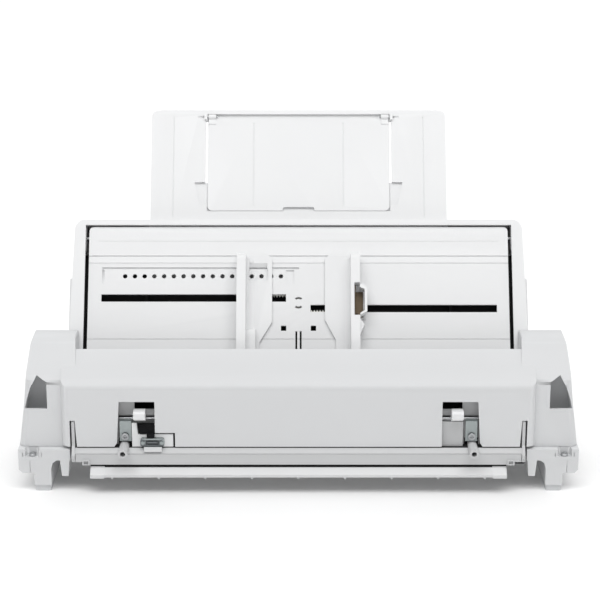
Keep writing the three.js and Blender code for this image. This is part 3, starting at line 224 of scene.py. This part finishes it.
LOOKS = {
    "cover_plastic": moulded_plastic("cover_plastic_look", (0.63, 0.637, 0.645), 0.52),
    "hopper_plastic": moulded_plastic("hopper_plastic_look", (0.76, 0.765, 0.77), 0.5),
    "nylon": moulded_plastic("nylon_look", (0.70, 0.70, 0.66), 0.4, 0.00001),
    "rubber": rubber("rubber_look", (0.05, 0.052, 0.055)),
    "sheet_steel": sheet_metal("sheet_steel_look", (0.36, 0.395, 0.395)),
    "bright_steel": sheet_metal("bright_steel_look", (0.50, 0.51, 0.52), 0.36, (30, 1, 1)),
    # Brass with its colour darkened to near black-brown: partly painted shade of the release lever's
    # pocket, where the spring sits.
    "spring_brass": sheet_metal("spring_brass_look", (0.13, 0.10, 0.07), 0.42),
    "motor_can": sheet_metal("motor_can_look", (0.2, 0.21, 0.22), 0.4),
    "black_plastic": moulded_plastic("black_plastic_look", (0.008, 0.008, 0.009), 0.8, specular=0.12),
    "circuit_board": circuit_board("circuit_board_look"),
}
# Looks of single pieces, or of faces within a piece.
# The frame is the cover's pale plastic drawn darker: its grey carries painted shade.
FRAME_SHADE_TONED_LOOK = moulded_plastic("frame_look", (0.54, 0.545, 0.55), 0.55)
# The chute's grey is toned to carry some of the shading it shows: partly painted shade.
CHUTE_LOOK = moulded_plastic("chute_look", (0.66, 0.665, 0.67), 0.5)
PAD_LOOK = moulded_plastic("pale_pad_look", (0.60, 0.61, 0.62), 0.7, 0.00005)
# Near black: painted shade for hidden faces of pale plastic that only ever show in shadow.
PAINTED_SHADE_LOOK = moulded_plastic("dark_inside_look", (0.035, 0.035, 0.036), 0.8, specular=0.2)
INSERT_LOOK = moulded_plastic("connector_insert_look", (0.16, 0.17, 0.18), 0.6)


def dress(obj, *looks):
    obj.data.materials.clear()
    for look in looks:
        obj.data.materials.append(look)


# ---------------------------------------------------------------- finer pieces


def put(obj, node, *looks):
    """Dresses a finished visual object and lets it stand in for its CAD node."""
    dress(obj, *(looks or (LOOKS[SLOT_OF[node]],)))
    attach(obj, BODY_OF[node])
    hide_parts(node)
    return obj


def apply_modifiers(obj):
    graph = bpy.context.evaluated_depsgraph_get()
    mesh = bpy.data.meshes.new_from_object(obj.evaluated_get(graph))
    obj.modifiers.clear()
    obj.data = mesh


FINE = "_fine"                          # ends the names of the finer pieces
WELD = 2e-6                             # corners of the CAD nearer than this are one corner
FLAT_ANGLE = math.radians(0.8)          # triangles bent less than this make one flat face
SHARP_ANGLE = math.radians(28)          # edges of the CAD bent more than this are rounded
CREASE_ANGLE = math.radians(32)         # edges of the finer piece bent more than this show as a crease


def refined(node, width, segments=2, shortest=0.0, inside=None, inside_look=PAINTED_SHADE_LOOK, outer_look=None):
    """A finer copy of a CAD piece: flat faces made whole and its real edges rounded by `width` mm.

    Edges shorter than `shortest` mm stay sharp, so that small pressed lines keep their shape.
    Faces for which `inside(centre, normal)` holds get `inside_look`, by default the near-black painted
    shade, the others `outer_look`."""
    obj = bpy.data.objects.new(node + FINE, frame["nodes"][node].data.copy())
    scene.collection.objects.link(obj)
    obj.data.transform(frame["nodes"][node].matrix_world)
    work = bmesh.new()
    work.from_mesh(obj.data)
    bmesh.ops.remove_doubles(work, verts=work.verts, dist=WELD)
    bmesh.ops.dissolve_limit(work, angle_limit=FLAT_ANGLE, verts=work.verts, edges=work.edges)
    weights = work.edges.layers.float.new("bevel_weight_edge")
    for edge in work.edges:
        sharp = len(edge.link_faces) == 2 and edge.calc_face_angle(0) > SHARP_ANGLE
        edge[weights] = 1.0 if sharp and edge.calc_length() > shortest * MM else 0.0
    work.to_mesh(obj.data)
    work.free()
    bevel = obj.modifiers.new("rounded", "BEVEL")
    bevel.width = width * MM
    bevel.segments = segments
    bevel.limit_method = "WEIGHT"
    bevel.use_clamp_overlap = True
    apply_modifiers(obj)
    obj.data.shade_smooth()
    obj.data.set_sharp_from_angle(angle=CREASE_ANGLE)
    obj.modifiers.new("flat_faces_flat", "WEIGHTED_NORMAL").keep_sharp = True
    apply_modifiers(obj)
    outer_look = outer_look or LOOKS[SLOT_OF[node]]
    if not inside:
        return put(obj, node, outer_look)
    put(obj, node, outer_look, inside_look)
    for face in obj.data.polygons:
        face.material_index = 1 if inside(face.center, face.normal) else 0
    return obj


def wire(node, path, radius):
    """A round wire along `path`, standing in for a CAD spring."""
    curve = bpy.data.curves.new(node + "_wire", "CURVE")
    curve.dimensions = "3D"
    curve.bevel_depth = radius * MM
    curve.bevel_resolution = 3
    curve.use_fill_caps = True
    spline = curve.splines.new("POLY")
    spline.points.add(len(path) - 1)
    for point, place in zip(spline.points, path):
        point.co = (*place, 1)
    shape = bpy.data.objects.new(node + "_curve", curve)
    scene.collection.objects.link(shape)
    graph = bpy.context.evaluated_depsgraph_get()
    mesh = bpy.data.meshes.new_from_object(shape.evaluated_get(graph))
    bpy.data.objects.remove(shape)
    obj = bpy.data.objects.new(node + FINE, mesh)
    scene.collection.objects.link(obj)
    mesh.shade_smooth()
    return put(obj, node)


COIL_STEPS = 20                         # straight pieces in a turn of a coil
LIFT_WIRE, LOCK_WIRE = 0.6, 0.35        # radii of the two kinds of spring wire
HOUSING_LEG, PLATE_LEG = 25.4, 15.4     # legs of a lift spring


def lift_spring(node, side):
    """Torsion coil on the pivot pin, one leg to the housing and one behind the plate."""
    turns, radius, start, end = 3.5, 3.0, 174.0, 178.0
    path = [on_hopper(side * start, PIVOT_T - HOUSING_LEG, PIVOT_W - radius)]
    steps = int(turns * COIL_STEPS)
    for i in range(steps + 1):
        angle = -math.pi / 2 + 2 * math.pi * i / COIL_STEPS
        along = side * (start + (end - start) * i / steps)
        up, out = radius * math.cos(angle), radius * math.sin(angle)
        path.append(on_hopper(along, PIVOT_T + up, PIVOT_W + out))
    path.append(on_hopper(side * end, PIVOT_T - PLATE_LEG, PIVOT_W + radius))
    wire(node, path, LIFT_WIRE)


def lock_spring():
    """Return coil round the lock rod."""
    centre = Vector(JOINTS["lock_turn"]["pos_m"])
    turns, radius, start, length = 6, 2.2, 158.9, 5.2
    path = []
    for i in range(turns * COIL_STEPS + 1):
        angle = 2 * math.pi * i / COIL_STEPS
        along = start + length * i / (turns * COIL_STEPS)
        path.append(centre + MM * Vector((along, radius * math.cos(angle), radius * math.sin(angle))))
    wire("lock_spring", path, LOCK_WIRE)


for node_name, node_object in frame["nodes"].items():
    dress(node_object, LOOKS[SLOT_OF[node_name]])


# Where the faces lie that get another look than the rest of their piece, in millimetres; the hollow, the
# beam's top and the throat get near-black painted shade.
HOLLOW_W = (-20, -5)                    # depth of the housing's hollow behind the plate
HOLLOW_TOP, HOLLOW_HALF = 66, 186.8     # its upper end and half its width
BEAM_TOP = 39.3                         # height of the beam's upper side
BEAM_BACK_Y = -70                       # the beam lies in front of this
THROAT_Y = -85.5                        # the lower guide passes under the beam behind this
SOCKET_X, SOCKET_HALF = -124, 5.9       # middle of the socket and half its width
SOCKET_Z = (42.6, 47.5)
CABLE_SHELL_TOP = 41.3                  # the pale cable shell lies below this, the steel socket above


def behind_plate(centre, normal):
    """Inner faces of the housing, seen only through the slots of the plate; they get near-black painted
    shade.
    """
    out = (centre - HOPPER_ORIGIN).dot(OUT_OF_PLATE) / MM
    up = (centre - HOPPER_ORIGIN).dot(UP_PLATE) / MM
    return HOLLOW_W[0] < out < HOLLOW_W[1] and up < HOLLOW_TOP and abs(centre.x) < HOLLOW_HALF * MM


def under_cover(centre, normal):
    """Top of the beam, which only shows as a dark line below the cover; it gets near-black painted shade.
    """
    level = normal.z > 0.9 and abs(centre.z / MM - BEAM_TOP) < 0.4
    return level and centre.y < BEAM_BACK_Y * MM


def under_beam(centre, normal):
    """The part of the lower paper guide that lies behind the beam's lip, in its shadow; it gets
    near-black painted shade.
    """
    return centre.y > THROAT_Y * MM and normal.z > 0.3


def in_socket(centre, normal):
    """Inside of the connector's shell, and its tongue."""
    return abs(centre.x / MM - SOCKET_X) < SOCKET_HALF and SOCKET_Z[0] < centre.z / MM < SOCKET_Z[1]


# Each piece with the width of its rounded edges, the steps across them and the shortest edge rounded.
refined("front_cover", 0.7, 3, 2.0)
refined("rear_cover", 0.9, 3, 2.0)
# The housing's hollow, the beam's top and the lower guide's throat get near-black painted shade.
refined("rear_housing", 0.9, 3, 2.0, inside=behind_plate)
# The frame's darker grey is painted shade.
refined("base_frame", 0.35, 2, 1.5, inside=under_cover, outer_look=FRAME_SHADE_TONED_LOOK)
# The chute's grey carries some painted shade.
refined("exit_chute", 0.4, 2, 2.0, inside=under_beam, outer_look=CHUTE_LOOK)
refined("hopper_plate", 0.3, 2, 4.0)
refined("guide_left", 0.6, 3, 2.0)
refined("guide_right", 0.6, 3, 2.0)
refined("release_lever", 0.4, 3, 1.5)
refined("extension_tray", 0.5, 2, 4.0)
refined("extension_flap", 0.4, 2, 4.0)
connector = refined("interface_connector", 0.25, 2, 0.5, inside=in_socket, inside_look=INSERT_LOOK)
connector.data.materials.append(CHUTE_LOOK)
for face in connector.data.polygons:
    if face.center.z < CABLE_SHELL_TOP * MM:
        face.material_index = 2
refined("cable_boot", 0.8, 3, 1.0)
refined("connector_panel", 0.4, 2, 1.0)
refined("drive_motor", 1.0, 3, 1.0)
for side_name, side in (("left", -1), ("right", 1)):
    refined("bracket_" + side_name, 0.6, 3, 1.5)
    refined("lock_hook_" + side_name, 0.6, 3, 1.0)
    refined("latch_plate_" + side_name, 0.2, 2, 0.5)
    dress(refined("foot_pad_" + side_name, 0.6, 2, 1.0), PAD_LOOK)
    lift_spring("lift_spring_" + side_name, side)
lock_spring()
for node_name in ("feed_roller", "exit_roller_left", "exit_roller_right", "pick_tyre", "pick_hub",
                  "separation_pad", "separation_pad_holder", "hopper_friction_pad"):
    refined(node_name, 0.4, 2, 0.5)
done = {obj.name.removesuffix(FINE) for obj in scene.objects if obj.name.endswith(FINE)}
for node_name in frame["nodes"]:
    # the board is out of sight behind the rear cover and keeps its CAD shape
    if node_name not in done and node_name != "control_board":
        refined(node_name, 0.12, 1, 0.3)

# ---------------------------------------------------------------- studio

CAMERA_RISE = math.radians(17)
CAMERA_LENS, CAMERA_SENSOR = 116.8, 36
CAMERA_AT = (0.0013, -1.62875, 0.6435)
CAMERA_REACH = 30
WHITE = (1, 1, 1, 1)
WORLD_STRENGTH = 0.42
FLOOR_HALF = 8.0
FLOOR_GLOW = 0.04                       # the sheet under the object is lit through from below
# Rectangular lights: place, point they face, size and watts.
LIGHTS = {
    "overhead_soft_box": ((0, -1.2, 2.6), (0, 0.0, 0.1), (3.4, 1.4), 60),
    "front_fill": ((-0.9, -2.2, 0.9), (0, 0, 0.12), (0.9, 0.9), 0.1),
    "left_fill": ((-2.3, -0.5, 0.9), (0, 0, 0.1), (1.6, 1.4), 4),
    "right_fill": ((2.3, -0.5, 0.9), (0, 0, 0.1), (1.6, 1.4), 4),
    "backdrop_wash": ((0, 2.6, 1.7), (0, 2.6, 0), (7.0, 3.6), 72),
}


def place_camera():
    data = bpy.data.cameras.new("camera")
    data.lens = CAMERA_LENS
    data.sensor_width = CAMERA_SENSOR
    data.clip_end = CAMERA_REACH
    camera = bpy.data.objects.new("camera", data)
    camera.location = CAMERA_AT
    camera.rotation_euler = (math.pi / 2 - CAMERA_RISE, 0, 0)
    scene.collection.objects.link(camera)
    scene.camera = camera


def lay_floor():
    floor_mesh = bpy.data.meshes.new("floor")
    half = FLOOR_HALF
    corners = [(-half, -half, 0), (half, -half, 0), (half, half, 0), (-half, half, 0)]
    floor_mesh.from_pydata(corners, [], [(0, 1, 2, 3)])
    floor = bpy.data.objects.new("floor", floor_mesh)
    scene.collection.objects.link(floor)
    n = Nodes("floor_look")
    tone = n.mix(n.noise(3, 2), (0.90, 0.90, 0.90), (0.93, 0.93, 0.93))
    rougher = n.ramp(n.noise(8, 2), 0.75, 0.85)
    dress(floor, n.finish(tone, rougher, Emission_Color=WHITE, Emission_Strength=FLOOR_GLOW))


def light_up():
    world = bpy.data.worlds.new("studio_world")
    world.use_nodes = True
    background = world.node_tree.nodes["Background"]
    background.inputs["Color"].default_value = WHITE
    background.inputs["Strength"].default_value = WORLD_STRENGTH
    scene.world = world
    for name, (place, target, size, energy) in LIGHTS.items():
        light = bpy.data.lights.new(name, "AREA")
        light.shape = "RECTANGLE"
        light.size, light.size_y = size
        light.energy = energy
        lamp = bpy.data.objects.new(name, light)
        lamp.location = place
        lamp.rotation_euler = (Vector(target) - Vector(place)).to_track_quat("-Z", "Y").to_euler()
        scene.collection.objects.link(lamp)


place_camera()
lay_floor()
light_up()
